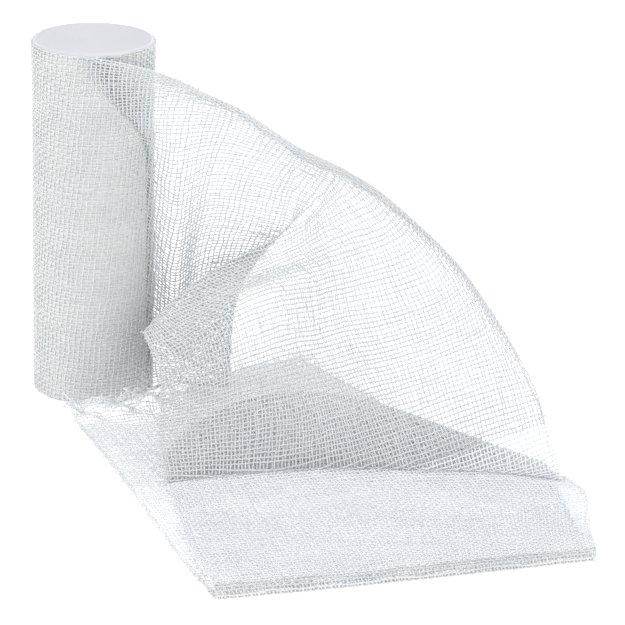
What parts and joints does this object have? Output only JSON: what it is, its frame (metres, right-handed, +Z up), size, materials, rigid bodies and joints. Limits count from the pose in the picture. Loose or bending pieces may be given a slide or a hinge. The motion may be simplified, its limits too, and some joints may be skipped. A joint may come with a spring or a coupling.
{
  "type": "gauze bandage roll",
  "caption": "Open-weave gauze bandage roll standing on its end, with the loose end of the strip pulled out, pleated once and laid in folds on the surface.",
  "frame": {"origin": "centre of the roll's foot, on the surface it stands on", "axes": "+Z up along the roll's axis, -Y towards the folded front of the loose end, +X towards the side the loose end is pulled out to"},
  "size_m": [0.1446, 0.1735, 0.1],
  "materials": {
    "gauze": "matt bleached cotton, open plain weave"
  },
  "bodies": {
    "root": {"roll": "gauze", "loose_end": "gauze"}
  },
  "joints": []
}
